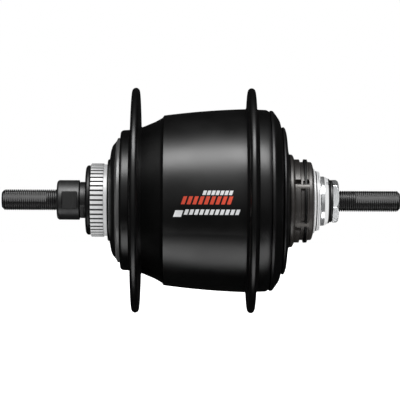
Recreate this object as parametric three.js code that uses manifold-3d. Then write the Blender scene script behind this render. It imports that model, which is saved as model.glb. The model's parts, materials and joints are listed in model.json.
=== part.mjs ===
// Five-speed bicycle hub gear with a splined disc-rotor mount, as an assembly of separate pieces.
// Millimetres. +X runs along the axle to the sprocket side, +Z is up, the origin is the middle of the axle.
// Angles are degrees about the axle from +Y toward +Z, so FRONT (toward -Y) is 180 and the top is 90.
import * as THREE from 'three';
import { mergeVertices } from 'three/addons/utils/BufferGeometryUtils.js';
import Module from 'manifold-3d';

const wasm = await Module();
wasm.setup();

// ---------------------------------------------------------------- driving dimensions
const GAP = 0.3; // clearance left between any two neighbouring pieces
const FRONT = 180;
const FINE = 32; // facets round the large turned pieces
const COARSE = 20; // facets round the small turned pieces

const AXLE = { halfLength: 93.5, radius: 4.76, chamfer: 1.3, flat: 4.25, flatTilt: 18, flatLength: 22 };
const CORE = { radius: 9, from: -31.3, to: 17 };
const BORE = AXLE.radius + GAP; // everything threaded on the axle

const FLANGE = { left: -30.6, right: 23.5, radius: 52.7, halfThickness: 1.75, spokeCircle: 48, spokes: 18 };
const SPOKE_HOLE = 1.3;
const SHELL_BORE = { left: 30.3, middle: 36, right: 39.6 };
const SHELL_ENDS = { left: -37.6, right: 31.7 };

const SPLINE = { teeth: 48, tip: 17.25, root: 16.75, from: -51.9, to: -45.7 };

const MODULE = 1;
const PRESSURE_ANGLE = 25;
const ADDENDUM = 0.8;
const DEDENDUM = 1.05;
const BACKLASH = 0.2;
const TEETH = { ring: 60, sunLarge: 36, sunSmall: 30, planetSmall: 12, planetLarge: 18 };
const PLANETS = [90, 210, 330];
const PLANET_CIRCLE = MODULE * (TEETH.ring - TEETH.planetSmall) / 2;
const PIN = 2.5;
const ROUND = 10; // facets round a pin, a roller and their holes

const SLEEVE = { bore: 10.2, radius: 12.2 }; // the driver's inner sleeve
const CLUTCH_TRAVEL = 4;
const SELECTOR_TURN = 90;
const CLUTCH_X = { from: 21.5, to: 24.5 };

// ---------------------------------------------------------------- small tools
const rad = (deg) => (deg * Math.PI) / 180;
const polar = (r, deg) => new THREE.Vector2(r * Math.cos(rad(deg)), r * Math.sin(rad(deg)));
const steps = (n) => [...Array(n).keys()];
const circle = (r, n) => steps(n).map((i) => polar(r, (360 * i) / n));

// A closed three.js geometry as a solid that can be joined and cut.
function solid(geometry) {
  const bare = geometry.clone();
  bare.deleteAttribute('normal');
  bare.deleteAttribute('uv');
  const merged = mergeVertices(bare, 1e-4);
  const corners = [...merged.index.array];
  const kept = [];
  for (let i = 0; i < corners.length; i += 3) {
    const [a, b, c] = corners.slice(i, i + 3);
    if (a !== b && b !== c && c !== a) kept.push(a, b, c);
  }
  const vertProperties = merged.attributes.position.array;
  return new wasm.Manifold(new wasm.Mesh({ numProp: 3, vertProperties, triVerts: new Uint32Array(kept) }));
}

// A profile of [x, radius] points turned once about the axle.
function turned(profile, facets = COARSE) {
  const area = profile.reduce((sum, [x, r], i) => {
    const [nextX, nextR] = profile[(i + 1) % profile.length];
    return sum + x * nextR - nextX * r;
  }, 0);
  const ordered = area > 0 ? [...profile].reverse() : [...profile];
  ordered.push(ordered[0]);
  const points = ordered.map(([x, r]) => new THREE.Vector2(r, x));
  return solid(new THREE.LatheGeometry(points, facets).rotateZ(-Math.PI / 2));
}

const tube = (inner, outer, from, to, facets = COARSE) =>
  turned([[from, inner], [to, inner], [to, outer], [from, outer]], facets);

// An outline in the YZ plane drawn out along X.
function prism(outline, from, to, holes = []) {
  const shape = new THREE.Shape(outline);
  shape.holes = holes.map((hole) => new THREE.Path(hole));
  const geometry = new THREE.ExtrudeGeometry(shape, { depth: to - from, bevelEnabled: false });
  geometry.applyMatrix4(new THREE.Matrix4().set(0, 0, 1, from, 1, 0, 0, 0, 0, 1, 0, 0, 0, 0, 0, 1));
  return solid(geometry);
}

// A sector of a ring, centred on an angle.
function sector(inner, outer, centre, halfAngle, from, to, pieces = 4) {
  const along = (r, sign) =>
    steps(pieces + 1).map((i) => polar(r, centre + sign * halfAngle * ((2 * i) / pieces - 1)));
  return prism([...along(outer, 1), ...along(inner, -1)], from, to);
}

// Points given as [tangential, radial] from the axle, turned to stand at an angle.
const standing = (points, angle) =>
  points.map(([along, out]) => new THREE.Vector2(out, along).rotateAround(new THREE.Vector2(), rad(angle)));

const joined = (parts) => parts.reduce((whole, part) => whole.add(part));
const cutBy = (whole, cutters) => cutters.reduce((left, cutter) => left.subtract(cutter), whole);
const about = (part, angle) => part.rotate([angle, 0, 0]);
const thirds = (part) => joined([0, 120, 240].map((angle) => about(part, angle)));

// ---------------------------------------------------------------- gear teeth
const involute = (angle) => Math.tan(angle) - angle;

// Half the angle one external tooth takes up at a radius, in degrees.
function halfTooth(teeth, r) {
  const pitch = (MODULE * teeth) / 2;
  const base = pitch * Math.cos(rad(PRESSURE_ANGLE));
  const here = Math.acos(Math.min(1, base / Math.max(r, base)));
  const atPitch = Math.PI / (2 * teeth) - BACKLASH / (4 * pitch);
  return ((atPitch + involute(rad(PRESSURE_ANGLE)) - involute(here)) * 180) / Math.PI;
}

function externalTeeth(teeth, phase) {
  const root = (MODULE * teeth) / 2 - DEDENDUM;
  const tip = (MODULE * teeth) / 2 + ADDENDUM;
  return steps(teeth).flatMap((i) => {
    const centre = phase + (360 * i) / teeth;
    const foot = halfTooth(teeth, root);
    const head = halfTooth(teeth, tip);
    return [
      polar(root, centre - foot), polar(tip, centre - head),
      polar(tip, centre + head), polar(root, centre + foot),
    ];
  });
}

function internalTeeth(teeth, phase) {
  const root = (MODULE * teeth) / 2 + DEDENDUM;
  const tip = (MODULE * teeth) / 2 - ADDENDUM;
  const pitchAngle = 360 / teeth;
  return steps(teeth).flatMap((i) => {
    const gap = phase + pitchAngle * (i + 0.5);
    const slack = (BACKLASH / (MODULE * teeth)) * (180 / Math.PI);
    const foot = halfTooth(teeth, root) + slack;
    const head = halfTooth(teeth, tip) + slack;
    return [polar(tip, gap - head), polar(root, gap - foot), polar(root, gap + foot), polar(tip, gap + head)];
  });
}

// ---------------------------------------------------------------- pieces fixed to the axle
const SUN_PAWL = { angle: FRONT - 60, from: 7, to: 12, pivot: [4.6, 5.6] };
const SMALL_SUN_PAWL = { angle: FRONT - 60, from: -5, to: 0 };
const PAWL_RETRACTED = 20; // degrees a sun pawl swings in to clear its sun gear
const SUN_PAWL_OUTLINE = [
  [-0.9, 10.3], [0.9, 10.3], [1.2, 8], [4.6, 6.9], [5.9, 5.6], [4.6, 4.3], [-0.9, 5.9],
];
const SUN_PAWL_POCKET = [[-3.4, 11], [-3.4, 7], [-1.8, 3.5], [5, 3.5], [6.4, 5], [6.4, 11]];

function axle() {
  const { halfLength, radius, chamfer, flat, flatTilt, flatLength } = AXLE;
  const body = turned([
    [-halfLength, 0], [-halfLength, radius - chamfer], [-halfLength + chamfer, radius],
    [CORE.from, radius], [CORE.from, CORE.radius], [CORE.to, CORE.radius], [CORE.to, radius],
    [halfLength - chamfer, radius], [halfLength, radius - chamfer], [halfLength, 0],
  ]);
  const slab = [[-6, flat], [6, flat], [6, 6], [-6, 6]];
  const sides = [FRONT - flatTilt, -flatTilt];
  const flats = sides.flatMap((angle) => [
    prism(standing(slab, angle), -halfLength - 1, -halfLength + flatLength),
    prism(standing(slab, angle), halfLength - flatLength, halfLength + 1),
  ]);
  const pockets = [SUN_PAWL, SMALL_SUN_PAWL].map(({ angle, from, to }) =>
    prism(standing(SUN_PAWL_POCKET, angle), from - GAP, to + GAP));
  return cutBy(body, [...flats, ...pockets]);
}

// Two parallel wrench flats cut into a round piece between two positions along the axle.
function wrenchFlats(piece, acrossFlats, angle, from, to) {
  const slab = [[-8, acrossFlats / 2], [8, acrossFlats / 2], [8, 12], [-8, 12]];
  return cutBy(piece, [angle, angle + 180].map((side) => prism(standing(slab, side), from, to)));
}

function leftLocknut() {
  const radius = 9.2;
  const nut = turned([
    [-67.8, BORE], [-67.8, 8.4], [-66.6, radius], [-57.2, radius], [-57.2, BORE],
  ], FINE);
  return wrenchFlats(nut, 16.8, FRONT, -65.5, -57.8);
}

function leftCone() {
  const cone = turned([
    [-56.9, BORE], [-56.9, 8.4], [-51.2, 8.4], [-51.2, 11], [-46.6, 11], [-43.6, 9.9],
    [-41.5, 8.8], [CORE.from - GAP, 8.8], [CORE.from - GAP, BORE],
  ]);
  return wrenchFlats(cone, 15, FRONT + 45, -58, -54.6);
}

const THRUST_WASHERS = {
  carrier_thrust_washer: [-9.2, -7.3],
  sun_thrust_washer: [2.3, 4.7],
  large_sun_thrust_washer: [14.3, 16.2],
};
const thrustWasher = ([from, to]) => tube(CORE.radius + GAP, 12.8, from, to);

const flatted = (radius, flat) =>
  circle(radius, COARSE).map(({ x, y }) => new THREE.Vector2(Math.max(-flat, Math.min(flat, x)), y));

const spacerTube = () => prism(flatted(6.6, 5.6), CORE.to + GAP, 44.3, [circle(BORE, COARSE)]);

function rightCone() {
  const body = turned([
    [44.6, BORE], [44.6, 10.6], [46.8, 10.7], [48.2, 11.2], [49.2, 12.2], [53.3, 12.2],
    [53.3, 12.9], [52.6, 12.9], [52.6, 15], [53, 15], [53.6, 13.9], [54.4, 13.9], [54.4, 7], [60.2, 7],
    [60.2, BORE],
  ]);
  const windows = [SELECTOR_PRONGS, SELECTOR_PRONGS + 180].map((angle) =>
    sector(7, 9.4, angle - SELECTOR_TURN / 2, SELECTOR_TURN / 2 + PRONG_HALF + 5, 44, 55, 10));
  return cutBy(body, windows);
}

function coneDustDisc() {
  const slit = prism(standing([[-0.4, 8], [0.4, 8], [0.4, 15], [-0.4, 15]], FRONT - 42), 54, 57);
  return tube(9.4, 13.9, 54.7, 55.7).subtract(slit);
}

const rightSpacer = () => tube(BORE, 9.9, 60.5, 61.3);

function rightLocknut() {
  const acrossCorners = 10.4;
  const hexagon = steps(6).map((i) => polar(acrossCorners, FRONT + 15 + 60 * i));
  const envelope = turned([[61, BORE], [61, 11], [62.8, 11], [64.6, 8.6], [64.6, BORE]]);
  return prism(hexagon, 61.6, 64.6, [circle(BORE, COARSE)]).intersect(envelope);
}

// ---------------------------------------------------------------- sun gears and their pawls
function sunBore() {
  const slots = 6;
  return steps(slots).flatMap((i) => {
    const centre = SUN_PAWL.angle + (360 * i) / slots;
    return [
      polar(9.5, centre - 9.5), polar(10.9, centre - 9), polar(10.9, centre + 9), polar(9.5, centre + 9.5),
      polar(9.5, centre + 30),
    ];
  });
}

const sunGear = (teeth, from, to) => prism(externalTeeth(teeth, PLANETS[0]), from, to, [sunBore()]);

function sunPawl({ angle, from, to }, swing) {
  const pivot = new THREE.Vector2(...SUN_PAWL.pivot);
  const swung = SUN_PAWL_OUTLINE.map(([along, out]) => {
    const point = new THREE.Vector2(along, out).rotateAround(pivot, rad(swing));
    return [point.x, point.y];
  });
  return prism(standing(swung, angle), from, to);
}

// ---------------------------------------------------------------- planet carrier
function planetGear() {
  const phase = 15;
  const large = prism(externalTeeth(TEETH.planetLarge, 0), -8.5, 3.5, [circle(PIN + 0.45, ROUND)]);
  const small = prism(externalTeeth(TEETH.planetSmall, phase), 3.4, 15, [circle(PIN + 0.45, ROUND)]);
  return large.add(small).translate([0, 0, PLANET_CIRCLE]);
}

const planetPin = () => prism(circle(PIN, ROUND), -12.2, 19.2).translate([0, 0, PLANET_CIRCLE]);

const ROLLERS = { count: 6, circle: 25, radius: 1.6, from: -30, to: -21.4 };

function planetCarrier() {
  const hubBore = CORE.radius + GAP;
  const hexagon = steps(6).map((i) => polar(23 / Math.cos(rad(30)), 30 + 60 * i));
  const cam = prism(hexagon, -31, -20).intersect(tube(hubBore, 24.6, -31, -20));
  const leftHub = tube(hubBore, 22, -20.5, -12);
  const leftPlate = tube(hubBore, 33.5, -12.5, -9.5);
  const rightPlate = tube(10, 28.5, 16.5, 19.5);
  const bridges = thirds(sector(20.5, 27.5, 30, 18, -10, 17));
  const dogs = thirds(sector(16.8, 20, CLUTCH_TOOTH + 26, 14, 19, 23.5));
  const whole = joined([cam, leftHub, leftPlate, rightPlate, bridges, dogs]);
  const holes = thirds(prism(circle(PIN + 0.45, ROUND), -14, 21).translate([0, 0, PLANET_CIRCLE]));
  return whole.subtract(holes);
}

const roller = (index) =>
  prism(circle(ROLLERS.radius, ROUND), ROLLERS.from, ROLLERS.to)
    .translate([0, ROLLERS.circle, 0])
    .rotate([(360 * index) / ROLLERS.count, 0, 0]);

function rollerCage() {
  const slack = GAP + 0.1;
  const halfWidth = ROLLERS.radius + slack;
  const window = [[-halfWidth, 20], [halfWidth, 20], [halfWidth, 30], [-halfWidth, 30]];
  const windows = steps(ROLLERS.count).map((i) =>
    prism(standing(window, (360 * i) / ROLLERS.count), ROLLERS.from - slack, ROLLERS.to + slack));
  return cutBy(tube(25, 26.5, -32, -19.6), windows);
}

// ---------------------------------------------------------------- ring gear and its pawls
const RATCHET = { teeth: 24, tip: 35.3, root: 37.6, outer: 39.1, from: 18, to: 26 };
const PAWL_X = { from: 20.5, to: 23.9 };
const RING_PAWL_OUTLINE = [[36.8, 1.9], [34.6, 1.5], [31.2, 13.2], [31.2, 15.8], [32.6, 17], [34, 15.8]];
const RING_PAWL_POCKET = [[35.5, -0.4], [31.4, -0.4], [30.6, 8], [30.6, 16.6], [32.6, 18.2], [35.5, 17.2]];
const spread = (points, angle) => points.map(([r, beyond]) => polar(r, angle + beyond));

// The clutch teeth stop one gap short of these dogs at the end of their travel.
const ringDogs = () =>
  thirds(sector(16.7, 21, CLUTCH_TOOTH + 60, 14, CLUTCH_X.to + CLUTCH_TRAVEL + GAP, 29.9));

function ringGear() {
  const teeth = prism(circle(34.5, COARSE), 4, 15.5, [internalTeeth(TEETH.ring, PLANETS[0])]);
  const skirt = turned([
    [15.4, 31.2], [16, 29.6], [24.9, 29.6], [24.9, 20.2], [29.9, 20.2], [29.9, 22.5], [28.3, 22.5],
    [28.3, 34.5], [25.5, 34.5], [25.5, 32.9], [24.3, 32.9], [24.3, 34.5], [15.4, 34.5],
  ]);
  const pockets = PLANETS.map((angle) =>
    prism(spread(RING_PAWL_POCKET, angle), PAWL_X.from - GAP, PAWL_X.to + GAP));
  return cutBy(joined([teeth, skirt, ringDogs()]), pockets);
}

const ringPawl = (angle) => prism(spread(RING_PAWL_OUTLINE, angle), PAWL_X.from, PAWL_X.to);

const pawlSpring = () =>
  tube(33.2, 34.1, 24.6, 25.2).subtract(sector(32, 36, PLANETS[0] + 40, 4, 24, 26));

function shellRatchetRing() {
  const pitchAngle = 360 / RATCHET.teeth;
  const teeth = steps(RATCHET.teeth).flatMap((i) => {
    const wall = PLANETS[0] + pitchAngle * i;
    return [polar(RATCHET.tip, wall), polar(RATCHET.root, wall + 0.6)];
  });
  return prism(circle(RATCHET.outer, RATCHET.teeth), RATCHET.from, RATCHET.to, [teeth]);
}

// ---------------------------------------------------------------- clutch, follower and selector
const CLUTCH_TOOTH = 30;
const SELECTOR_PRONGS = FRONT - 30;
const PRONG_HALF = 20;
const CAM = { lobes: 2, ramp: 150, inner: 7, outer: 9.6 };

// Height of the helical cam at an angle: a ramp round most of each lobe, then a steep return.
function camHeight(angle) {
  const lobe = 360 / CAM.lobes;
  const at = ((angle % lobe) + lobe) % lobe;
  const high = (CAM.ramp / SELECTOR_TURN) * CLUTCH_TRAVEL;
  return at <= CAM.ramp ? (at / CAM.ramp) * high : (high * (lobe - at)) / (lobe - CAM.ramp);
}

// A ring with two faces that may rise and fall round it.
function wavyRing(inner, outer, leftFace, rightFace, facets = 36) {
  const points = [];
  const triangles = [];
  for (const i of steps(facets)) {
    const angle = (360 * i) / facets;
    const [near, far] = [polar(inner, angle), polar(outer, angle)];
    points.push(leftFace(angle), near.x, near.y, leftFace(angle), far.x, far.y);
    points.push(rightFace(angle), far.x, far.y, rightFace(angle), near.x, near.y);
    const [here, next] = [4 * i, 4 * ((i + 1) % facets)];
    for (const k of steps(4)) {
      const other = (k + 1) % 4;
      triangles.push(here + k, next + other, here + other, here + k, next + k, next + other);
    }
  }
  const geometry = new THREE.BufferGeometry();
  geometry.setAttribute('position', new THREE.Float32BufferAttribute(points, 3));
  geometry.setIndex(triangles);
  return solid(geometry);
}

function clutchRing() {
  const { from, to } = CLUTCH_X;
  const ring = tube(SLEEVE.radius + 0.5, 16.2, from, to);
  const arms = thirds(sector(7.4, 13, CLUTCH_TOOTH, 10, from, to));
  const teeth = thirds(sector(15.5, 19.5, CLUTCH_TOOTH, 10, from, to));
  return joined([ring, arms, teeth]);
}

const FOLLOWER_LEFT = CLUTCH_X.to + GAP;
const FOLLOWER_BASE = 1.5;

function shiftFollower() {
  const cam = (angle) => FOLLOWER_LEFT + FOLLOWER_BASE + camHeight(angle);
  const ring = wavyRing(5, CAM.outer, () => FOLLOWER_LEFT, cam);
  return ring.subtract(prism(flatted(6.9, 5.9), FOLLOWER_LEFT - 1, 40));
}

// A spring whose coil runs round the spacer tube between the axle core and the clutch arms.
function clutchSpring() {
  const turns = 2.5;
  const wire = 0.4;
  const from = CORE.to + GAP + wire;
  const to = CLUTCH_X.from - GAP - wire;
  class Coil extends THREE.Curve {
    getPoint(t) {
      const { x, y } = polar(8, 360 * turns * t);
      return new THREE.Vector3(from + (to - from) * t, x, y);
    }
  }
  const section = new THREE.Shape(circle(wire, 4));
  const sweep = { extrudePath: new Coil(), steps: 30, bevelEnabled: false };
  return solid(new THREE.ExtrudeGeometry(section, sweep));
}

function selector() {
  const camLeft = FOLLOWER_LEFT + FOLLOWER_BASE + CLUTCH_TRAVEL + 1.5 * GAP;
  const cam = (angle) => camLeft + camHeight(angle - SELECTOR_TURN);
  const camRing = wavyRing(CAM.inner, CAM.outer, cam, () => 40);
  const prongs = [SELECTOR_PRONGS, SELECTOR_PRONGS + 180].map((angle) =>
    sector(7.4, 9, angle, PRONG_HALF, 39, 57));
  const bush = turned([[56, 7.3], [56, 11.5], [57.4, 11.5], [60.2, 10.2], [60.2, 7.3]]);
  const notches = [50, 170, 290].map((angle) => sector(9.4, 12, FRONT - angle, 5, 58.4, 61, 2));
  return cutBy(joined([camRing, ...prongs, bush]), notches);
}

// ---------------------------------------------------------------- driver side
const DRIVER_BALLS = { x: 33.3, circle: 26.4, radius: 1.9, count: 14 };
const CONE_BALLS = { x: 46.8, circle: 12.5, radius: 1.5, count: 9 };
const CUP_BALLS = { x: -43.6, circle: 12, radius: 1.75, count: 8 };

// A ring of balls held apart by the cage that runs through them.
function ballRetainer({ x, circle: ballCircle, radius, count }) {
  const ball = solid(new THREE.SphereGeometry(radius, 6, 4)).translate([x, ballCircle, 0]);
  const cage = tube(ballCircle - 0.5, ballCircle + 0.5, x - 0.5, x + 0.5, count);
  return joined([cage, ...steps(count).map((i) => about(ball, -(360 * i) / count))]);
}

function driver() {
  const body = turned([
    [20.3, SLEEVE.bore], [20.3, SLEEVE.radius], [30.2, SLEEVE.radius], [30.2, 24.2], [35.8, 24.2],
    [35.8, 19.5], [45.9, 19.5], [45.9, 18.3], [47.7, 18.3], [47.7, 17.5],
    [49, 17.5], [49, 18.3], [51.4, 18.3], [52.3, 16.2], [52.3, 14.35], [44.2, 14.35],
    [44.2, SLEEVE.bore],
  ], FINE);
  const slots = thirds(sector(9, 13, CLUTCH_TOOTH, 14, 19, 29.6));
  const lugNotches = [FRONT - 25, FRONT + 35].flatMap((angle) =>
    [angle, angle + 180].map((side) => sector(16.9, 21, side, 6, 43.6, 51, 2)));
  return cutBy(body, [slots, ...lugNotches]);
}

const driverDustRing = () =>
  turned([[41.4, 19.8], [41.4, 21.9], [42.6, 21.7], [43.1, 21], [43.5, 19.9], [43.5, 19.8]], FINE);

const sprocketSnapRing = () => tube(17.9, 19.5, 48, 48.7, FINE).subtract(sector(16, 21, 0, 8, 47, 50, 2));

function rightCover() {
  return turned([
    [28, 35.2], [28, 39.2], [32.1, 39.2], [32.1, 42.3], [33.2, 42.3], [35.4, 39.5], [36.6, 37.5], [37.3, 35],
    [37.3, 25.2], [36.2, 25.2], [36.2, 28.7], [30.6, 28.7], [30.6, 35.2],
  ], FINE);
}

function rightDustCap() {
  return turned([
    [37.7, 20.1], [37.7, 34.6], [38.8, 34.6], [39.7, 32.2], [40.6, 24.3], [41.1, 22.2], [41.1, 20.1],
  ], FINE);
}

// ---------------------------------------------------------------- shell and brake side
// One spoke flange in profile, rising from the shell to its rounded rim and back down.
function flangeProfile(centre, leftFoot, rightFoot) {
  const { radius, halfThickness } = FLANGE;
  const round = 1.2;
  return [
    [centre - halfThickness, leftFoot], [centre - halfThickness, radius - round],
    [centre - halfThickness + round, radius], [centre + halfThickness - round, radius],
    [centre + halfThickness, radius - round], [centre + halfThickness, rightFoot],
  ];
}

function hubShell() {
  const { left, middle, right } = SHELL_BORE;
  const body = turned([
    [SHELL_ENDS.left, left], [SHELL_ENDS.left, 32.05], [-37, 32.7], [-36.2, 32.9],
    ...flangeProfile(FLANGE.left, 33, 34.4),
    [-27.1, 34.6], [-23.8, 35.9], [-19.1, 38.3], [-17.4, 39.2],
    [-14.4, 39.8], [-5, 41.1], [4.4, 42], [13.8, 42.6],
    ...flangeProfile(FLANGE.right, 42.9, 42.8),
    [30.3, 42.65], [SHELL_ENDS.right, 42], [SHELL_ENDS.right, right],
    [17.5, right], [17.5, middle], [-16, middle], [-18, left],
  ], FINE);
  const hole = prism(circle(SPOKE_HOLE, 6), -3, 3).translate([0, FLANGE.spokeCircle, 0]);
  const pitchAngle = 360 / FLANGE.spokes;
  const holes = steps(FLANGE.spokes).flatMap((i) => [
    about(hole.translate([FLANGE.left, 0, 0]), pitchAngle * i),
    about(hole.translate([FLANGE.right, 0, 0]), pitchAngle * (i + 0.5)),
  ]);
  return body.subtract(joined(holes));
}

function rotorMount() {
  const { teeth, tip, root, from, to } = SPLINE;
  const pitchAngle = 360 / teeth;
  const splines = steps(teeth).flatMap((i) => {
    const centre = FRONT + pitchAngle * i;
    return [polar(tip, centre - 2.8), polar(tip, centre + 2.8), polar(root, centre + pitchAngle / 2)];
  });
  const crown = prism(splines, from, to, [circle(15.3, FINE)]);
  const body = turned([
    [to - 0.2, 15.3], [to - 0.2, 16.8], [-39.6, 16.8], [-39.6, 27.9], [-38.9, 29.2], [-34.8, 29.2],
    [-34.8, 12], [-39.3, 12], [-39.3, 15.3],
  ], FINE);
  return crown.add(body);
}

function leftBallCup() {
  return turned([
    [-46, 14.2], [-46, 14.9], [-39.8, 14.9], [-39.8, 11.6], [-41.3, 11.6], [-41.3, 13.3], [-42, 14.2],
  ]);
}

function rotorMountCap() {
  return turned([
    [-54.3, 8.7], [-54.3, 15.2], [-53.3, 16.2], [-52.2, 16.2], [-52.2, 14.9], [-50.2, 14.9],
    [-50.2, 13.4], [-52.4, 13.4], [-52.4, 8.7],
  ], FINE);
}

const rotorSeatRing = () => turned([[-43.6, 17.1], [-43.6, 18.9], [-42.9, 19.3], [-42.9, 17.1]], FINE);

function rotorMountPlate() {
  return turned([
    [-42.6, 17.1], [-42.6, 20.1], [-41.6, 25.1], [-40.2, 27.3], [-39.9, 27.3], [-39.9, 17.1],
  ], FINE);
}

const clutchOuterRing = () => tube(27.2, 29.8, -33.3, -19);

// ---------------------------------------------------------------- finishes
const finish = (color, roughness, metalness) => ({ color, roughness, metalness });
const BLACK_PAINT = finish(0x17181a, 0.35, 0.2);
const BLACK_STEEL = finish(0x1d1d1e, 0.5, 0.7);
const BLACK_PLASTIC = finish(0x141415, 0.6, 0);
const BRIGHT_STEEL = finish(0xc9ccd0, 0.25, 1);
const DRIVER_STEEL = finish(0x57534f, 0.4, 0.9);
const GEAR_STEEL = finish(0x84878b, 0.35, 1);
const ALLOY = finish(0xb4b7bb, 0.4, 0.9);
const SPRING_STEEL = finish(0x6f7073, 0.3, 1);

// ---------------------------------------------------------------- assembly
const hub = new THREE.Group();
hub.name = 'hub_gear';

function place(name, part, { color, roughness, metalness }) {
  const { vertProperties, triVerts } = part.getMesh();
  const geometry = new THREE.BufferGeometry();
  geometry.setAttribute('position', new THREE.Float32BufferAttribute(vertProperties, 3));
  geometry.setIndex([...triVerts]);
  geometry.computeVertexNormals();
  const material = new THREE.MeshStandardMaterial({ color, roughness, metalness });
  const mesh = new THREE.Mesh(geometry, material);
  mesh.name = name;
  hub.add(mesh);
}

place('axle', axle(), BLACK_STEEL);
place('left_locknut', leftLocknut(), BLACK_STEEL);
place('left_cone', leftCone(), BLACK_STEEL);
for (const [name, span] of Object.entries(THRUST_WASHERS)) place(name, thrustWasher(span), SPRING_STEEL);
place('spacer_tube', spacerTube(), GEAR_STEEL);
place('right_cone', rightCone(), BRIGHT_STEEL);
place('cone_dust_disc', coneDustDisc(), BRIGHT_STEEL);
place('right_spacer', rightSpacer(), BLACK_STEEL);
place('right_locknut', rightLocknut(), BRIGHT_STEEL);

place('sun_gear_large', sunGear(TEETH.sunLarge, 5, 14), GEAR_STEEL);
place('sun_gear_small', sunGear(TEETH.sunSmall, -7, 2), GEAR_STEEL);
place('sun_pawl_large', sunPawl(SUN_PAWL, 0), SPRING_STEEL);
place('sun_pawl_small', sunPawl(SMALL_SUN_PAWL, PAWL_RETRACTED), SPRING_STEEL);

place('planet_carrier', planetCarrier(), GEAR_STEEL);
for (const [index, angle] of PLANETS.entries()) {
  const turn = angle - 90;
  place(`planet_pin_${index + 1}`, about(planetPin(), turn), BRIGHT_STEEL);
  place(`planet_gear_${index + 1}`, about(planetGear(), turn), GEAR_STEEL);
}
place('roller_cage', rollerCage(), SPRING_STEEL);
for (const index of steps(ROLLERS.count)) place(`roller_${index + 1}`, roller(index), BRIGHT_STEEL);

place('ring_gear', ringGear(), GEAR_STEEL);
for (const [index, angle] of PLANETS.entries()) {
  place(`ring_pawl_${index + 1}`, ringPawl(angle), SPRING_STEEL);
}
place('ring_pawl_spring', pawlSpring(), SPRING_STEEL);

place('clutch_ring', clutchRing(), GEAR_STEEL);
place('clutch_spring', clutchSpring(), SPRING_STEEL);
place('shift_follower', shiftFollower(), GEAR_STEEL);
place('selector', selector(), BRIGHT_STEEL);

place('driver', driver(), DRIVER_STEEL);
place('driver_dust_ring', driverDustRing(), DRIVER_STEEL);
place('sprocket_snap_ring', sprocketSnapRing(), BLACK_STEEL);
place('driver_ball_retainer', ballRetainer(DRIVER_BALLS), BRIGHT_STEEL);
place('right_ball_retainer', ballRetainer(CONE_BALLS), BRIGHT_STEEL);
place('left_ball_retainer', ballRetainer(CUP_BALLS), BRIGHT_STEEL);

place('hub_shell', hubShell(), BLACK_PAINT);
place('right_cover', rightCover(), BLACK_PAINT);
place('right_dust_cap', rightDustCap(), BLACK_PLASTIC);
place('shell_ratchet_ring', shellRatchetRing(), GEAR_STEEL);
place('clutch_outer_ring', clutchOuterRing(), GEAR_STEEL);
place('rotor_mount', rotorMount(), ALLOY);
place('left_ball_cup', leftBallCup(), GEAR_STEEL);
place('rotor_mount_cap', rotorMountCap(), BLACK_PLASTIC);
place('rotor_seat_ring', rotorSeatRing(), BLACK_PAINT);
place('rotor_mount_plate', rotorMountPlate(), BLACK_PLASTIC);

export default hub;
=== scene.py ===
"""Looks for the five-speed bicycle hub gear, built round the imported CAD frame.

The tables are in millimetres and degrees, and mesh_object turns them into the scene's metres. Angles run
about the axle from +Y toward +Z, so 90 is up and the camera looks at 180.
"""
import json
import math

import bmesh
import bpy
from mathutils import Matrix, Vector


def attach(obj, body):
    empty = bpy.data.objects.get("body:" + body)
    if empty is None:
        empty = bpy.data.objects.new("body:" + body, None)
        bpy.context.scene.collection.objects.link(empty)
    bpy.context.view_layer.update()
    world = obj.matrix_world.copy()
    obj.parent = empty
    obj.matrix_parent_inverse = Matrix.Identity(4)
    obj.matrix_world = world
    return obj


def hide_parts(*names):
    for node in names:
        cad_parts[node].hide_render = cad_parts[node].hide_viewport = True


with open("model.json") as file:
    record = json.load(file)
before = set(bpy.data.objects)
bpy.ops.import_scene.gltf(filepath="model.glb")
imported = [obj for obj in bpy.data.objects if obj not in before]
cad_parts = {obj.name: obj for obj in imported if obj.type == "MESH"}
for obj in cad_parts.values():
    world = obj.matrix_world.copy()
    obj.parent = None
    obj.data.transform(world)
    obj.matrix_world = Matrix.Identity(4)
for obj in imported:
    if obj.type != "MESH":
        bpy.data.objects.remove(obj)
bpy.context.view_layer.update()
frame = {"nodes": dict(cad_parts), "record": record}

MM = 0.001
FRONT = 180.0  # the angle that faces the camera
SMOOTH_BELOW = math.radians(33)
TOUCH = 0.01  # two radii closer than this are the same surface
EDGE_ON = 1e-3  # the smallest cosine that a flat is divided by

# ---------------------------------------------------------------- dimensions shared by several pieces, mm
AXLE_HALF = 93.4
AXLE_RADIUS = 4.86
BORE = 5.06
NUT_SKIN = 8.0  # radii past this are the outside of a nut or cone, not its bore
THREAD_PITCH = 25.4 / 26
THREAD_DEPTH = 0.68
FLANGE_RADIUS = 52.8
LEFT_FLANGE = -30.6
RIGHT_FLANGE = 23.5
FLANGE_HALF = 1.75
SPOKE_CIRCLE = 48.0
SPOKES = 18
SPLINES = 48


# ---------------------------------------------------------------- mesh tools
def rad(degrees):
    return math.radians(degrees)


def fillet(points, size, steps=4):
    """The closed outline with each corner rounded off by up to size."""
    longest_share = 0.45
    out = []
    for i, corner in enumerate(points):
        here = Vector(corner)
        before = Vector(points[i - 1]) - here
        after = Vector(points[(i + 1) % len(points)]) - here
        reach = min(size, before.length * longest_share, after.length * longest_share)
        start = here + before.normalized() * reach
        end = here + after.normalized() * reach
        for k in range(steps + 1):
            t = k / steps
            out.append(tuple((1 - t) ** 2 * start + 2 * t * (1 - t) * here + t * t * end))
    return out


def between(points, step):
    """The closed outline with long edges split so that no edge is longer than step."""
    out = []
    for i, (x, r) in enumerate(points):
        nx, nr = points[(i + 1) % len(points)]
        parts = max(1, math.ceil(math.hypot(nx - x, nr - r) / step))
        out += [(x + (nx - x) * k / parts, r + (nr - r) * k / parts) for k in range(parts)]
    return out


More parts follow.
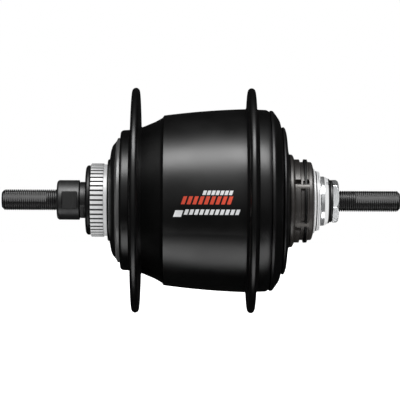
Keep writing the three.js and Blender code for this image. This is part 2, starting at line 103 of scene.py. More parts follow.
def ring(inner, outer, start, end):
    """The outline of a plain ring, as (x, radius) corners."""
    return [(start, inner), (end, inner), (end, outer), (start, outer)]


def angle_from(angle, centre):
    """How far an angle lies from a centre, from -180 up to 180."""
    return (angle - centre + 180.0) % 360.0 - 180.0


def hexagon_radius(angle, across_flats, flat_at):
    """Radius of a hexagon at an angle, with one flat facing flat_at."""
    return across_flats / 2 / math.cos(rad((angle - flat_at + 30.0) % 60.0 - 30.0))


def two_flats_radius(angle, across_flats, flat_at):
    """Radius of two parallel flats at an angle, with one of them facing flat_at."""
    return across_flats / 2 / max(abs(math.cos(rad(angle - flat_at))), EDGE_ON)


def mesh_object(name, verts, faces, material):
    mesh = bpy.data.meshes.new(name)
    mesh.from_pydata([tuple(c * MM for c in v) for v in verts], [], faces)
    mesh.validate()
    mesh.polygons.foreach_set("use_smooth", [True] * len(mesh.polygons))
    mesh.set_sharp_from_angle(angle=SMOOTH_BELOW)
    mesh.materials.append(material)
    obj = bpy.data.objects.new(name, mesh)
    bpy.context.scene.collection.objects.link(obj)
    return obj


def face_outward(obj):
    """Turns every face of a closed mesh outward."""
    bm = bmesh.new()
    bm.from_mesh(obj.data)
    bmesh.ops.recalc_face_normals(bm, faces=bm.faces)
    bm.to_mesh(obj.data)
    bm.free()
    return obj


def revolve(name, stations, material, segments=160, shape=None, closed=True):
    """Stations of (x, radius) turned about the axle, where shape(x, r, angle) may change the radius.

    A closed outline joins its last station to its first, and an open one gets a flat face at each end.
    """
    verts = []
    faces = []
    for x, r in stations:
        for j in range(segments):
            angle = 360.0 * j / segments
            radius = shape(x, r, angle) if shape else r
            verts.append((x, radius * math.cos(rad(angle)), radius * math.sin(rad(angle))))
    rows = len(stations)
    for i in range(rows if closed else rows - 1):
        a, b = i * segments, ((i + 1) % rows) * segments
        for j in range(segments):
            k = (j + 1) % segments
            faces.append((a + j, a + k, b + k, b + j))
    if not closed:
        faces.append(tuple(range(segments)))
        faces.append(tuple(reversed(range((rows - 1) * segments, rows * segments))))
    return face_outward(mesh_object(name, verts, faces, material))


def paint_where(obj, material, chosen):
    """One more material, on the faces whose centre is chosen by its x and radius in mm."""
    slot = len(obj.data.materials)
    obj.data.materials.append(material)
    for face in obj.data.polygons:
        x, y, z = face.center / MM
        if chosen(x, math.hypot(y, z)):
            face.material_index = slot


def stands_for(obj, body, slot, *nodes):
    """The piece rides its body and is shown in place of its CAD nodes."""
    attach(obj, body)
    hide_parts(*nodes)


# ---------------------------------------------------------------- materials
class Shader:
    """A Principled material with its noise, grain and bump nodes wired by name."""

    NOISE_LOW, NOISE_HIGH = 0.3, 0.7  # noise values seldom leave this range

    def __init__(self, name, color, metallic, roughness):
        self.material = bpy.data.materials.new(name)
        self.material.use_nodes = True
        self.nodes = self.material.node_tree.nodes
        self.links = self.material.node_tree.links
        self.bsdf = self.nodes["Principled BSDF"]
        self.bsdf.inputs["Base Color"].default_value = (*color, 1)
        self.bsdf.inputs["Metallic"].default_value = metallic
        self.bsdf.inputs["Roughness"].default_value = roughness
        self.coords = self.nodes.new("ShaderNodeTexCoord").outputs["Object"]

    def noise(self, scale, detail, vector=None):
        node = self.nodes.new("ShaderNodeTexNoise")
        node.inputs["Scale"].default_value = scale
        node.inputs["Detail"].default_value = detail
        self.links.new(vector or self.coords, node.inputs["Vector"])
        return node.outputs["Fac"]

    def turned_vector(self, across_marks, along_marks):
        """Coordinates that change fast along and out from the axle and slowly round it, for lathe marks."""
        split = self.nodes.new("ShaderNodeSeparateXYZ")
        self.links.new(self.coords, split.inputs[0])
        flat = self.nodes.new("ShaderNodeCombineXYZ")
        self.links.new(split.outputs["Y"], flat.inputs["Y"])
        self.links.new(split.outputs["Z"], flat.inputs["Z"])
        length = self.nodes.new("ShaderNodeVectorMath")
        length.operation = "LENGTH"
        self.links.new(flat.outputs[0], length.inputs[0])
        total = self.math("ADD", split.outputs["X"], length.outputs["Value"])
        fast = self.math("MULTIPLY", total, across_marks)
        out = self.nodes.new("ShaderNodeCombineXYZ")
        self.links.new(fast, out.inputs["X"])
        self.links.new(self.math("MULTIPLY", split.outputs["Y"], along_marks), out.inputs["Y"])
        self.links.new(self.math("MULTIPLY", split.outputs["Z"], along_marks), out.inputs["Z"])
        return out.outputs[0]

    def math(self, operation, a, b):
        node = self.nodes.new("ShaderNodeMath")
        node.operation = operation
        for socket, value in zip(node.inputs, (a, b)):
            if isinstance(value, (int, float)):
                socket.default_value = value
            else:
                self.links.new(value, socket)
        return node.outputs[0]

    def colors(self, fac, dark, light):
        ramp = self.nodes.new("ShaderNodeValToRGB")
        ramp.color_ramp.elements[0].position = self.NOISE_LOW
        ramp.color_ramp.elements[0].color = (*dark, 1)
        ramp.color_ramp.elements[1].position = self.NOISE_HIGH
        ramp.color_ramp.elements[1].color = (*light, 1)
        self.links.new(fac, ramp.inputs["Fac"])
        self.links.new(ramp.outputs["Color"], self.bsdf.inputs["Base Color"])

    def rough(self, fac, low, high):
        node = self.nodes.new("ShaderNodeMapRange")
        node.inputs["From Min"].default_value = self.NOISE_LOW
        node.inputs["From Max"].default_value = self.NOISE_HIGH
        node.inputs["To Min"].default_value = low
        node.inputs["To Max"].default_value = high
        self.links.new(fac, node.inputs["Value"])
        self.links.new(node.outputs[0], self.bsdf.inputs["Roughness"])

    def bump(self, height, distance_mm, strength):
        node = self.nodes.new("ShaderNodeBump")
        node.inputs["Strength"].default_value = strength
        node.inputs["Distance"].default_value = distance_mm * MM
        self.links.new(height, node.inputs["Height"])
        self.links.new(node.outputs["Normal"], self.bsdf.inputs["Normal"])


def scaled(color, factor):
    return tuple(c * factor for c in color)


def turned_metal(name, dark, light, roughness, metallic=1.0):
    """A metal with the fine rings that a lathe leaves, and a little staining."""
    shader = Shader(name, light, metallic, roughness)
    marks = shader.turned_vector(across_marks=1500.0, along_marks=25.0)
    grain = shader.noise(scale=1.0, detail=4.0, vector=marks)
    stain = shader.noise(scale=90.0, detail=5.0)
    both = shader.math("MULTIPLY", shader.math("ADD", grain, stain), 0.5)
    shader.colors(both, dark, light)
    shader.rough(both, low=roughness * 0.8, high=roughness * 1.25)
    shader.bump(grain, distance_mm=0.01, strength=0.6)
    return shader.material


def painted(name, color, roughness):
    """Satin paint: even colour, a faint orange peel and slightly uneven gloss."""
    shader = Shader(name, color, 0.0, roughness)
    shader.bsdf.inputs["Specular IOR Level"].default_value = 0.3
    peel = shader.noise(scale=1400.0, detail=2.0)
    patches = shader.noise(scale=60.0, detail=4.0)
    shader.colors(patches, dark=scaled(color, 0.8), light=scaled(color, 1.25))
    shader.rough(patches, low=roughness * 0.92, high=roughness * 1.1)
    shader.bump(peel, distance_mm=0.012, strength=0.5)
    return shader.material


def moulded(name, color, roughness):
    """Moulded plastic: a fine even grain."""
    shader = Shader(name, color, 0.0, roughness)
    shader.bsdf.inputs["Specular IOR Level"].default_value = 0.25
    grain = shader.noise(scale=2600.0, detail=3.0)
    patches = shader.noise(scale=40.0, detail=3.0)
    shader.colors(patches, dark=scaled(color, 0.8), light=scaled(color, 1.3))
    shader.rough(grain, low=roughness * 0.9, high=roughness * 1.12)
    shader.bump(grain, distance_mm=0.02, strength=0.5)
    return shader.material


SHELL_PAINT = painted("satin_black_paint", color=(0.0026, 0.0026, 0.0027), roughness=0.36)
COVER_PAINT = painted("cover_black_paint", color=(0.0026, 0.0026, 0.0027), roughness=0.42)
BLACK_STEEL = turned_metal(
    "black_oxide_steel",
    dark=(0.01, 0.01, 0.0105), light=(0.022, 0.022, 0.0225), roughness=0.46, metallic=0.2,
)
THREAD_STEEL = turned_metal(
    "thread_black_steel",
    dark=(0.01, 0.01, 0.01), light=(0.026, 0.026, 0.026), roughness=0.45, metallic=0.3,
)
# Black steel for the snap ring, also used as painted shade for a dark line on the right cone's disc.
SNAP_STEEL_AND_SHADE = turned_metal(
    "snap_ring_steel_and_painted_shade",
    dark=(0.002, 0.002, 0.002), light=(0.004, 0.004, 0.004), roughness=0.5, metallic=0.6,
)
# Painted shade for the grooves between the rotor mount's splines.
GROOVE_SHADE = turned_metal(
    "spline_groove_painted_shade",
    dark=(0.07, 0.07, 0.072), light=(0.12, 0.12, 0.122), roughness=0.5, metallic=0.1,
)
BRIGHT_STEEL = turned_metal(
    "bright_zinc",
    dark=(0.5, 0.51, 0.52), light=(0.78, 0.79, 0.8), roughness=0.23, metallic=0.72,
)
ALLOY = turned_metal(
    "machined_alloy",
    dark=(0.8, 0.81, 0.82), light=(0.96, 0.96, 0.96), roughness=0.4, metallic=0.05,
)
DRIVER_STEEL = turned_metal(
    "driver_steel",
    dark=(0.026, 0.022, 0.02), light=(0.055, 0.05, 0.046), roughness=0.4, metallic=0.2,
)
# A painted highlight: lighter steel for the crowns of the driver's raised bars, where they catch the light
# from above.
LUG_HIGHLIGHT_STEEL = turned_metal(
    "lug_painted_highlight",
    dark=(0.1, 0.094, 0.088), light=(0.16, 0.15, 0.14), roughness=0.5, metallic=0.2,
)
FLANGE_STEEL = turned_metal(
    "flange_steel",
    dark=(0.09, 0.09, 0.09), light=(0.15, 0.15, 0.15), roughness=0.42, metallic=0.25,
)
GEAR_STEEL = turned_metal(
    "oiled_gear_steel",
    dark=(0.3, 0.3, 0.31), light=(0.45, 0.45, 0.46), roughness=0.28,
)
SPRING_STEEL = turned_metal(
    "spring_steel",
    dark=(0.2, 0.2, 0.21), light=(0.34, 0.34, 0.35), roughness=0.25,
)
PLASTIC = moulded("black_moulding", color=(0.004, 0.004, 0.0042), roughness=0.45)
MARK_WHITE = painted("mark_white", color=(0.75, 0.76, 0.77), roughness=0.4)
MARK_ORANGE = painted("mark_orange", color=(0.7, 0.06, 0.02), roughness=0.42)

SLOT_MATERIALS = {
    "shell_paint": SHELL_PAINT,
    "black_steel": BLACK_STEEL,
    "bright_steel": BRIGHT_STEEL,
    "driver_steel": DRIVER_STEEL,
    "gear_steel": GEAR_STEEL,
    "spring_steel": SPRING_STEEL,
    "alloy": ALLOY,
    "black_plastic": PLASTIC,
}


def finish_cad_nodes():
    """Every CAD node gets the procedural material of its slot."""
    for row in frame["record"]["subparts"]:
        mesh = frame["nodes"][row["node"]].data
        mesh.materials.clear()
        mesh.materials.append(SLOT_MATERIALS[row["material_slot"]])


# ---------------------------------------------------------------- axle and its nuts
def axle():
    """One bar: a thread and two flats at each end, and two slots in its thick middle for the sun pawls."""
    core_start, core_end, core_radius = -31.3, 17.0, 9.0
    pawl_slots = [(-5.3, 0.3), (6.7, 12.3)]
    slot_at, slot_from, slot_to = FRONT - 60.0, -26.0, 50.0
    slot_floor, slot_wall = 3.5, 0.02
    across_flats, flat_at, flat_length = 8.4, FRONT - 18.0, 21.0
    thread_start = 34.0
    flank_slope = 3.0
    tip_chamfer, tip_step = 1.3, 0.05
    steps_per_turn = 8

    def thread_depth(x, angle):
        """Flat crests and roots with straight flanks between them."""
        turn = (x / THREAD_PITCH - angle / 360.0) % 1.0
        return THREAD_DEPTH * max(0.0, min(1.0, flank_slope / 2 - flank_slope * abs(2.0 * turn - 1.0)))

    def surface(x, r, angle):
        if r > AXLE_RADIUS + TOUCH:
            lean = angle_from(angle, slot_at)
            in_slot = slot_from < lean < slot_to and any(start < x < end for start, end in pawl_slots)
            return slot_floor / math.cos(rad(lean)) if in_slot else r
        if r < AXLE_RADIUS - TOUCH or abs(x) < thread_start:
            return r
        from_tip = AXLE_HALF - abs(x)
        radius = min(r - thread_depth(x, angle), AXLE_RADIUS - tip_chamfer + from_tip)
        if from_tip < flat_length:
            radius = min(radius, two_flats_radius(angle, across_flats, flat_at))
        return radius

    step = THREAD_PITCH / steps_per_turn
    from_tips = [k * step for k in range(1, int((AXLE_HALF - thread_start) / step) + 1)]
    tip_radius = AXLE_RADIUS - tip_chamfer - tip_step
    left = [(-AXLE_HALF, tip_radius)] + [(-AXLE_HALF + d, AXLE_RADIUS) for d in from_tips]
    right = [(-x, r) for x, r in reversed(left)]
    walls = [(x + side, core_radius) for slot in pawl_slots for x in slot for side in (-slot_wall, slot_wall)]
    middle = [
        (core_start, AXLE_RADIUS), (core_start, core_radius), *walls,
        (core_end, core_radius), (core_end, AXLE_RADIUS),
    ]
    stations = left + middle + right
    obj = revolve("axle_detailed", stations, THREAD_STEEL, segments=96, shape=surface, closed=False)
    stands_for(obj, "axle_assembly", "black_steel", "axle")


def left_locknut():
    """A round nut with two wrench flats that face the front and the back."""
    across_flats, flats_start, flats_end = 16.8, -65.0, -57.9
    outline = [(-67.4, BORE), (-67.4, 8.5), (-66.6, 9.3), (-56.9, 9.3), (-56.9, BORE)]

    def surface(x, r, angle):
        if r > NUT_SKIN and flats_start < x < flats_end:
            return min(r, two_flats_radius(angle, across_flats, FRONT))
        return r

    stations = between(fillet(outline, size=0.35), step=0.25)
    obj = revolve("left_locknut_detailed", stations, BLACK_STEEL, segments=240, shape=surface)
    stands_for(obj, "axle_assembly", "black_steel", "left_locknut")


def left_cone():
    """A cone with a collar, and two wrench flats at its outer end."""
    across_flats, flat_at, flats_end = 15.1, FRONT + 45.0, -54.5
    outline = [
        (-56.6, BORE), (-56.6, 8.5), (-51.2, 8.5), (-51.2, 11), (-46.6, 11), (-43.6, 9.9),
        (-41.5, 8.8), (-31.6, 8.8), (-31.6, BORE),
    ]

    def surface(x, r, angle):
        if r > NUT_SKIN and x < flats_end:
            return min(r, two_flats_radius(angle, across_flats, flat_at))
        return r

    stations = between(fillet(outline, size=0.25), step=0.5)
    obj = revolve("left_cone_detailed", stations, BLACK_STEEL, segments=200, shape=surface)
    stands_for(obj, "axle_assembly", "black_steel", "left_cone")


def right_locknut():
    """A hexagon nut whose outer corners are rounded down to its face."""
    across_flats, flat_at = 18.0, FRONT - 15.0
    crown_tip, crown_length = 64.32, 1.7
    crown_radius, crown_rise = 8.6, 2.2
    outline = [(61.6, BORE), (61.6, 10.35), (64.3, 10.35), (64.3, BORE)]

    def surface(x, r, angle):
        if r < NUT_SKIN:
            return r
        crown = crown_radius + crown_rise * math.sqrt(max(0.0, (crown_tip - x) / crown_length))
        return min(r, hexagon_radius(angle, across_flats, flat_at), crown)

    stations = between(outline, step=0.15)
    obj = revolve("right_locknut_detailed", stations, BRIGHT_STEEL, segments=240, shape=surface)
    stands_for(obj, "axle_assembly", "bright_steel", "right_locknut")


def right_spacer():
    outline = ring(inner=BORE, outer=9.9, start=60.5, end=61.3)
    obj = revolve("right_spacer_detailed", fillet(outline, size=0.15), BLACK_STEEL)
    stands_for(obj, "axle_assembly", "black_steel", "right_spacer")


def cone_dust_disc():
    """A thin disc with one slit cut into its edge."""
    slit_at, slit_half, slit_depth, slit_past = FRONT - 42.0, 2.0, 1.2, 12.0
    outline = ring(inner=9.4, outer=13.8, start=54.75, end=55.4)

    def surface(x, r, angle):
        in_slit = abs(angle_from(angle, slit_at)) < slit_half and r > slit_past
        return r - slit_depth if in_slit else r

    stations = between(fillet(outline, size=0.2), step=0.5)
    obj = revolve("cone_dust_disc_detailed", stations, ALLOY, segments=240, shape=surface)
    stands_for(obj, "axle_assembly", "bright_steel", "cone_dust_disc")


def right_cone_disc():
    """The turned disc of the right cone, just outside the driver, with painted shade as a dark line round its
    edge.
    """
    shade_line_start, shade_line_end, shade_line_past = 53.4, 53.95, 13.9
    outline = [
        (52.5, 12.8), (52.5, 15.1), (53.0, 15.1), (53.4, 14.3), (53.45, 14.0), (53.95, 14.0), (54.5, 14.0),
        (54.5, 7.4), (53.4, 7.4), (53.4, 12.8),
    ]
    obj = revolve("right_cone_disc", outline, ALLOY, segments=200)
    # Painted shade: a dark ring on the disc's flat edge, standing in for the shadowed gap beside it.
    paint_where(obj, SNAP_STEEL_AND_SHADE, lambda x, r: shade_line_start < x < shade_line_end and r > shade_line_past)
    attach(obj, "axle_assembly")


def selector_bush():
    """The turned skin of the cable selector's bush, with its three driving notches."""
    notches = [FRONT - 50.0 - 120.0 * i for i in range(3)]
    notch_half, notch_floor, notch_start = 4.9, 9.45, 58.5
    matt_start, matt_end, matt_past = 57.6, 59.5, 9.6
    outline = [(55.95, 7.6), (55.95, 11.55), (57.45, 11.55), (60.25, 10.25), (60.25, 7.6)]

    def surface(x, r, angle):
        in_notch = min(abs(angle_from(angle, notch)) for notch in notches) < notch_half
        return min(r, notch_floor) if in_notch and x > notch_start else r

    stations = between(fillet(outline, size=0.2), step=0.4)
    obj = revolve("selector_bush_detailed", stations, BRIGHT_STEEL, segments=240, shape=surface)
    paint_where(obj, ALLOY, lambda x, r: matt_start < x <= matt_end and r > matt_past)
    paint_where(obj, BLACK_STEEL, lambda x, r: x > matt_end)
    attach(obj, "selector")


# ---------------------------------------------------------------- brake side
def rotor_mount():
    """The splined mount and its own flange, with painted shade darkening the grooves between the splines."""
    start, end, tip, root = -51.5, -45.4, 17.25, 16.2
    groove_half, groove_wall, groove_top = 0.75, 0.45, 17.05
    below_splines, past_splines = 16.0, 18.0
    lead_in, end_slack = 0.3, 0.05
    half_pitch = 180.0 / SPLINES
    segments_per_spline = 16
    outline = [
        (start, 15.3), (start, 16.8), (start + lead_in, tip), (end, tip), (end, 16.8), (-39.6, 16.8),
        (-39.6, 27.9), (-38.9, 29.2), (-34.8, 29.2), (-34.8, 12.0), (-39.3, 12.0), (-39.3, 15.3),
    ]

    def surface(x, r, angle):
        if r < below_splines or x > end + end_slack:
            return r
        off = abs((angle + half_pitch) % (2 * half_pitch) - half_pitch)
        side = max(0.0, min(1.0, (groove_half + groove_wall - off) / groove_wall))
        return r - side * max(0.0, r - root)

    stations = fillet(outline, size=0.2, steps=3)
    segments = SPLINES * segments_per_spline
    obj = revolve("rotor_mount_detailed", stations, ALLOY, segments=segments, shape=surface)
    # Painted shade: the groove floors and walls are painted darker, where shade falls between the splines.
    paint_where(obj, GROOVE_SHADE, lambda x, r: start < x < end and below_splines < r < groove_top)
    paint_where(obj, FLANGE_STEEL, lambda x, r: r > past_splines)
    stands_for(obj, "shell_assembly", "alloy", "rotor_mount")


def rotor_mount_cap():
    outline = [
        (-53.8, 8.7), (-53.8, 15.2), (-53.4, 15.9), (-52.9, 16.3), (-51.8, 16.3), (-51.8, 14.9),
        (-50.2, 14.9), (-50.2, 13.4), (-52.4, 13.4), (-52.4, 8.7),
    ]
    obj = revolve("rotor_mount_cap_detailed", fillet(outline, size=0.3), PLASTIC)
    stands_for(obj, "shell_assembly", "black_plastic", "rotor_mount_cap")


def rotor_seat_ring():
    outline = [(-43.6, 17.1), (-43.6, 18.9), (-42.9, 19.3), (-42.9, 17.1)]
    obj = revolve("rotor_seat_ring_detailed", fillet(outline, size=0.15), COVER_PAINT)
    stands_for(obj, "shell_assembly", "shell_paint", "rotor_seat_ring")


def rotor_mount_plate():
    outline = [
        (-42.6, 17.1), (-42.6, 20.1), (-42.1, 23.4), (-41.6, 25.1), (-41.2, 25.9), (-40.7, 26.5),
        (-40.2, 27.0), (-39.9, 27.5), (-39.75, 27.5), (-39.75, 17.1),
    ]
    stations = fillet(outline, size=0.2, steps=3)
    obj = revolve("rotor_mount_plate_detailed", stations, PLASTIC, segments=200)
    stands_for(obj, "shell_assembly", "black_plastic", "rotor_mount_plate")


# ---------------------------------------------------------------- hub shell
def barrel_radius(x):
    """The barrel swells gently toward the drive side."""
    at_middle, slope, curve = 41.8, 0.0865, 0.0014
    return at_middle + slope * x - curve * x * x


def flange_outline(centre, left_foot, right_foot):
    """Up one face of a spoke flange, over its rounded rim and down the other, with a sloped foot on each."""
    foot, rim_step = 1.2, 15
    rim = [
        (centre + FLANGE_HALF * math.cos(rad(a)), FLANGE_RADIUS + FLANGE_HALF * (math.sin(rad(a)) - 1.0))
        for a in range(180, -1, -rim_step)
    ]
    left = [(centre - FLANGE_HALF - foot, left_foot), (centre - FLANGE_HALF, left_foot + foot)]
    right = [(centre + FLANGE_HALF, right_foot + foot), (centre + FLANGE_HALF + foot, right_foot)]
    return left + rim + right


def hub_shell():
    barrel_start, barrel_step, barrel_rows = -17.4, 1.7, 23
    stops = [barrel_start + k * barrel_step for k in range(barrel_rows)]
    outline = [
        (-37.6, 30.3), (-37.6, 31.9), (-37.3, 32.4), (-36.6, 32.8), (-36.0, 32.9), (-34.2, 33.0),
        *flange_outline(LEFT_FLANGE, left_foot=33.1, right_foot=34.3),
        (-26.6, 34.7), (-23.8, 35.9), (-21.4, 36.9), (-19.1, 38.2), (-18.2, 38.7),
        *[(x, barrel_radius(x)) for x in stops],
        *flange_outline(RIGHT_FLANGE, left_foot=42.95, right_foot=42.8),
        (30.3, 42.65), (31.7, 41.9), (31.7, 39.6), (17.5, 39.6), (17.5, 36.0), (-16.0, 36.0), (-18.0, 30.3),
    ]
    obj = revolve("hub_shell_detailed", outline, SHELL_PAINT, segments=256)
    drill_spoke_holes(obj)
    stands_for(obj, "shell_assembly", "shell_paint", "hub_shell")


def drill_spoke_holes(shell):
    """Countersunk spoke holes through both flanges."""
    sides = 20
    hole_radius, hole_half = 1.3, 1.15
    face_radius = 1.75
    past_face, past_radius = 3.0, 2.6
    half = [(hole_half, hole_radius), (FLANGE_HALF, face_radius), (past_face, past_radius)]
    profile = [(-x, r) for x, r in reversed(half)] + half
    verts = []
    faces = []
    for centre, offset in ((LEFT_FLANGE, 0.0), (RIGHT_FLANGE, 180.0 / SPOKES)):
        for i in range(SPOKES):
            at = offset + 360.0 * i / SPOKES
            y, z = SPOKE_CIRCLE * math.cos(rad(at)), SPOKE_CIRCLE * math.sin(rad(at))
            first = len(verts)
            for x, r in profile:
                for j in range(sides):
                    a = 2 * math.pi * j / sides
                    verts.append((centre + x, y + r * math.cos(a), z + r * math.sin(a)))
            for row in range(len(profile) - 1):
                for j in range(sides):
                    k = (j + 1) % sides
                    a, b = first + row * sides, first + (row + 1) * sides
                    faces.append((a + j, a + k, b + k, b + j))
            last = first + (len(profile) - 1) * sides
            faces.append(tuple(first + j for j in reversed(range(sides))))
            faces.append(tuple(last + j for j in range(sides)))
    cutter = face_outward(mesh_object("spoke_hole_cutter", verts, faces, SHELL_PAINT))
    cut = shell.modifiers.new("spoke_holes", "BOOLEAN")
    cut.operation = "DIFFERENCE"
    cut.solver = "EXACT"
    cut.object = cutter
    evaluated = shell.evaluated_get(bpy.context.evaluated_depsgraph_get())
    finished = bpy.data.meshes.new_from_object(evaluated)
    finished.set_sharp_from_angle(angle=SMOOTH_BELOW)
    shell.modifiers.clear()
    shell.data = finished
    bpy.data.objects.remove(cutter)


def barrel_mark(name, corners, material):
    """A printed four-sided patch lying on the barrel.

    Its corners are (x, height round the barrel) in mm: low left, low right, high right, high left.
    """
    lift = 0.04
    columns, rows = 24, 6
    low_left, low_right, high_right, high_left = [Vector(corner) for corner in corners]
    verts = []
    for i in range(rows + 1):
        for j in range(columns + 1):
            s, t = j / columns, i / rows
            low = low_left.lerp(low_right, s)
            high = high_left.lerp(high_right, s)
            x, height = low.lerp(high, t)
            r = barrel_radius(x) + lift
            angle = FRONT - math.degrees(height / r)
            verts.append((x, r * math.cos(rad(angle)), r * math.sin(rad(angle))))
    wide = columns + 1
    faces = []
    for i in range(rows):
        for j in range(columns):
            a = i * wide + j
            faces.append((a, a + 1, a + wide + 1, a + wide))
    obj = mesh_object(name, verts, faces, material)
    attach(obj, "shell_assembly")


def barrel_marks():
    """A generic printed pattern of slanted bars, with no lettering."""
    slant = 0.35

    def row(name, along, up, count, gap, material):
        start, end = along
        low, high = up
        lean = slant * (high - low)
        pitch = (end - start + gap) / count
        for i in range(count):
            left = start + i * pitch
            right = start + (i + 1) * pitch - gap
            corners = [(left, low), (right, low), (right + lean, high), (left + lean, high)]
            barrel_mark(f"{name}_{i + 1}", corners, material)

    row("mark_top", along=(0.3, 13.6), up=(2.5, 4.5), count=7, gap=0.5, material=MARK_WHITE)
    row("mark_middle", along=(-9.3, 13.0), up=(-1.7, 1.9), count=9, gap=0.9, material=MARK_ORANGE)
    row("mark_block", along=(-12.8, -9.2), up=(-7.4, -4.4), count=1, gap=0.5, material=MARK_WHITE)
    row("mark_low", along=(-8.0, 16.6), up=(-6.4, -4.0), count=11, gap=0.7, material=MARK_WHITE)


# ---------------------------------------------------------------- cover side
def right_cover():
    outline = [
        (28.0, 35.2), (28.0, 39.2), (32.1, 39.2), (32.1, 42.3), (33.1, 42.3), (33.6, 42.0), (34.5, 40.8),
        (35.4, 39.5), (36.4, 38.0), (36.8, 36.9), (37.3, 35.0), (37.3, 25.2), (36.2, 25.2), (36.2, 28.7),
        (30.6, 28.7), (30.6, 35.2),
    ]
    stations = fillet(outline, size=0.2, steps=3)
    obj = revolve("right_cover_detailed", stations, COVER_PAINT, segments=220)
    stands_for(obj, "shell_assembly", "shell_paint", "right_cover")


def right_dust_cap():
    outline = [
        (37.7, 20.1), (37.7, 34.3), (38.0, 34.6), (38.7, 34.6), (39.2, 33.9), (39.7, 32.2), (40.1, 28.3),
        (40.6, 24.3), (41.1, 22.2), (41.1, 20.1),
    ]
    obj = revolve("right_dust_cap_detailed", fillet(outline, size=0.3), PLASTIC, segments=200)
    stands_for(obj, "shell_assembly", "black_plastic", "right_dust_cap")


def driver_dust_ring():
    outline = [(41.4, 19.8), (41.4, 21.9), (42.6, 21.7), (43.1, 21.0), (43.5, 19.9), (43.5, 19.8)]
    stations = fillet(outline, size=0.1, steps=3)
    obj = revolve("driver_dust_ring_detailed", stations, DRIVER_STEEL, segments=180)
    stands_for(obj, "driver_assembly", "driver_steel", "driver_dust_ring")


def driver():
    """The sprocket driver, with ribs and a groove, raised bars, lug notches and slots for the clutch."""
    outline = [
        (20.3, 10.2), (20.3, 12.2), (30.2, 12.2), (30.2, 24.2), (35.8, 24.2), (35.8, 19.55), (45.9, 19.55),
        (46.2, 18.35), (47.8, 18.35), (47.8, 17.5), (48.95, 17.5), (48.95, 19.55), (49.5, 19.55),
        (49.9, 18.4), (51.3, 18.35), (51.8, 17.9), (52.3, 16.2), (52.3, 14.35), (44.2, 14.35), (44.2, 10.2),
    ]
    ribs = [(43.6, 46.1), (47.6, 50.0)]
    ribs_start, ribs_end, ribs_past = ribs[0][0], ribs[-1][1], 16.9
    bar_heights, bar_half, bar_top, bar_crown, highlight_past = (20.0, -34.3), 2.8, 19.8, 0.2, 19.57
    notches = [(27.2, 16.9), (-41.0, 18.3)]
    notch_half, notch_wall = 3.4, 0.5
    slots = [30, 150, 270]
    slot_half, slot_end, slot_past, slot_floor = 14.0, 29.6, 12.0, 10.25

    def off(angle, height):
        """How far an angle is from a height above the front, or from its opposite."""
        return min(abs(angle_from(angle, FRONT - height)), abs(angle_from(angle, -height)))

    def surface(x, r, angle):
        across_bar = min(off(angle, height) for height in bar_heights) / bar_half
        if ribs_start < x < ribs_end and r > ribs_past and across_bar < 1.0:
            return max(r, bar_top - bar_crown * across_bar ** 2)
        if any(start < x < end for start, end in ribs):
            for height, floor_radius in notches:
                side = max(0.0, min(1.0, (notch_half - off(angle, height)) / notch_wall))
                r -= side * max(0.0, r - floor_radius)
            return r
        in_slot = min(abs(angle_from(angle, slot)) for slot in slots) < slot_half
        return slot_floor if in_slot and x < slot_end and r > slot_past else r

    stations = between(fillet(outline, size=0.12, steps=2), step=0.8)
    obj = revolve("driver_detailed", stations, DRIVER_STEEL, segments=480, shape=surface)
    # Painted highlight: the crowns of the raised bars are painted lighter for the light they catch.
    paint_where(obj, LUG_HIGHLIGHT_STEEL, lambda x, r: ribs_start < x < ribs_end and r > highlight_past)
    stands_for(obj, "driver_assembly", "driver_steel", "driver")


def sprocket_snap_ring():
    """A ring sprung into the driver's groove, thinned to a trace where its ends part at the back."""
    gap_at, gap_half, gap_radius = 0.0, 6.0, 18.0
    outline = ring(inner=17.9, outer=19.6, start=47.95, end=48.85)

    def surface(x, r, angle):
        return min(r, gap_radius) if abs(angle_from(angle, gap_at)) < gap_half else r

    stations = between(fillet(outline, size=0.12, steps=2), step=0.5)
    obj = revolve("sprocket_snap_ring_detailed", stations, SNAP_STEEL_AND_SHADE, segments=360, shape=surface)
    stands_for(obj, "driver_assembly", "black_steel", "sprocket_snap_ring")


# ---------------------------------------------------------------- camera and light
def camera():
    """Square to the axle, from far enough back to see it nearly flat."""
    distance = 0.89
    width_at_axle = 0.188
    sideways, height = -0.00607, 0.00022
    roll = -0.27
    sensor = 36.0
    data = bpy.data.cameras.new("camera")
    data.sensor_width = sensor
    data.lens = sensor * distance / width_at_axle
    data.shift_x = 0.03
    obj = bpy.data.objects.new("camera", data)
    bpy.context.scene.collection.objects.link(obj)
    place = Matrix.Translation((sideways, -distance, height))
    obj.matrix_world = place @ Matrix.Rotation(rad(roll), 4, "Y") @ Matrix.Rotation(rad(90), 4, "X")
    bpy.context.scene.camera = obj


def softbox(name, elevation, distance, width, height, power):
    """A rectangular area light on the camera's side, aimed at the hub and seen only in its reflections."""
    data = bpy.data.lights.new(name, "AREA")
    data.shape = "RECTANGLE"
    data.size = width
    data.size_y = height
    data.energy = power
    obj = bpy.data.objects.new(name, data)
    bpy.context.scene.collection.objects.link(obj)
    toward = Vector((0.0, -math.cos(rad(elevation)), math.sin(rad(elevation))))
    aim = toward.to_track_quat("Z", "Y").to_matrix().to_4x4()
    obj.matrix_world = Matrix.Translation(toward * distance) @ aim
    obj.visible_diffuse = False


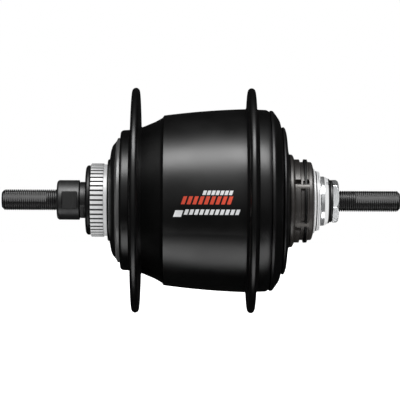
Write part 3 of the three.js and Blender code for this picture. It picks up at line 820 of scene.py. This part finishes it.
def world_light():
    """White behind the hub, an even white fill for matt surfaces and a dark room for reflections."""
    backdrop, fill, reflection = 1.0, 0.97, 0.012
    world = bpy.data.worlds.new("studio")
    world.use_nodes = True
    tree = world.node_tree
    path = tree.nodes.new("ShaderNodeLightPath")

    def shade(strength):
        node = tree.nodes.new("ShaderNodeBackground")
        node.inputs["Color"].default_value = (1, 1, 1, 1)
        node.inputs["Strength"].default_value = strength
        return node.outputs[0]

    def choose(ray, otherwise, seen):
        node = tree.nodes.new("ShaderNodeMixShader")
        tree.links.new(path.outputs[ray], node.inputs["Fac"])
        tree.links.new(otherwise, node.inputs[1])
        tree.links.new(seen, node.inputs[2])
        return node.outputs[0]

    unseen = choose("Is Glossy Ray", shade(fill), shade(reflection))
    everything = choose("Is Camera Ray", unseen, shade(backdrop))
    tree.links.new(everything, tree.nodes["World Output"].inputs["Surface"])
    tree.nodes.remove(tree.nodes["Background"])
    bpy.context.scene.world = world


def floor():
    """A glowing white floor below the hub, which neither lights it nor shows in it."""
    size, below = 6000.0, -160.0
    material = bpy.data.materials.new("pale_floor")
    material.use_nodes = True
    bsdf = material.node_tree.nodes["Principled BSDF"]
    bsdf.inputs["Base Color"].default_value = (0.9, 0.9, 0.9, 1)
    bsdf.inputs["Emission Color"].default_value = (1, 1, 1, 1)
    bsdf.inputs["Emission Strength"].default_value = 1.0
    corners = [(-size, -size, below), (size, -size, below), (size, size, below), (-size, size, below)]
    obj = mesh_object("floor", corners, [(0, 1, 2, 3)], material)
    obj.visible_diffuse = False
    obj.visible_glossy = False


def studio():
    camera()
    world_light()
    floor()
    softbox("softbox_top", elevation=57.5, distance=0.8, width=1.0, height=0.35, power=20.5)
    softbox("softbox_front", elevation=15, distance=0.8, width=1.4, height=0.6, power=1.05)
    softbox("softbox_under", elevation=-70, distance=0.6, width=0.8, height=0.32, power=4.8)
    bpy.context.scene.view_settings.view_transform = "Standard"


# ---------------------------------------------------------------- assembly
finish_cad_nodes()
for build in (
    axle, left_locknut, left_cone, right_locknut, right_spacer, cone_dust_disc, right_cone_disc,
    selector_bush, rotor_mount, rotor_mount_cap, rotor_seat_ring, rotor_mount_plate, hub_shell, barrel_marks,
    right_cover, right_dust_cap, driver_dust_ring, driver, sprocket_snap_ring, studio,
):
    build()
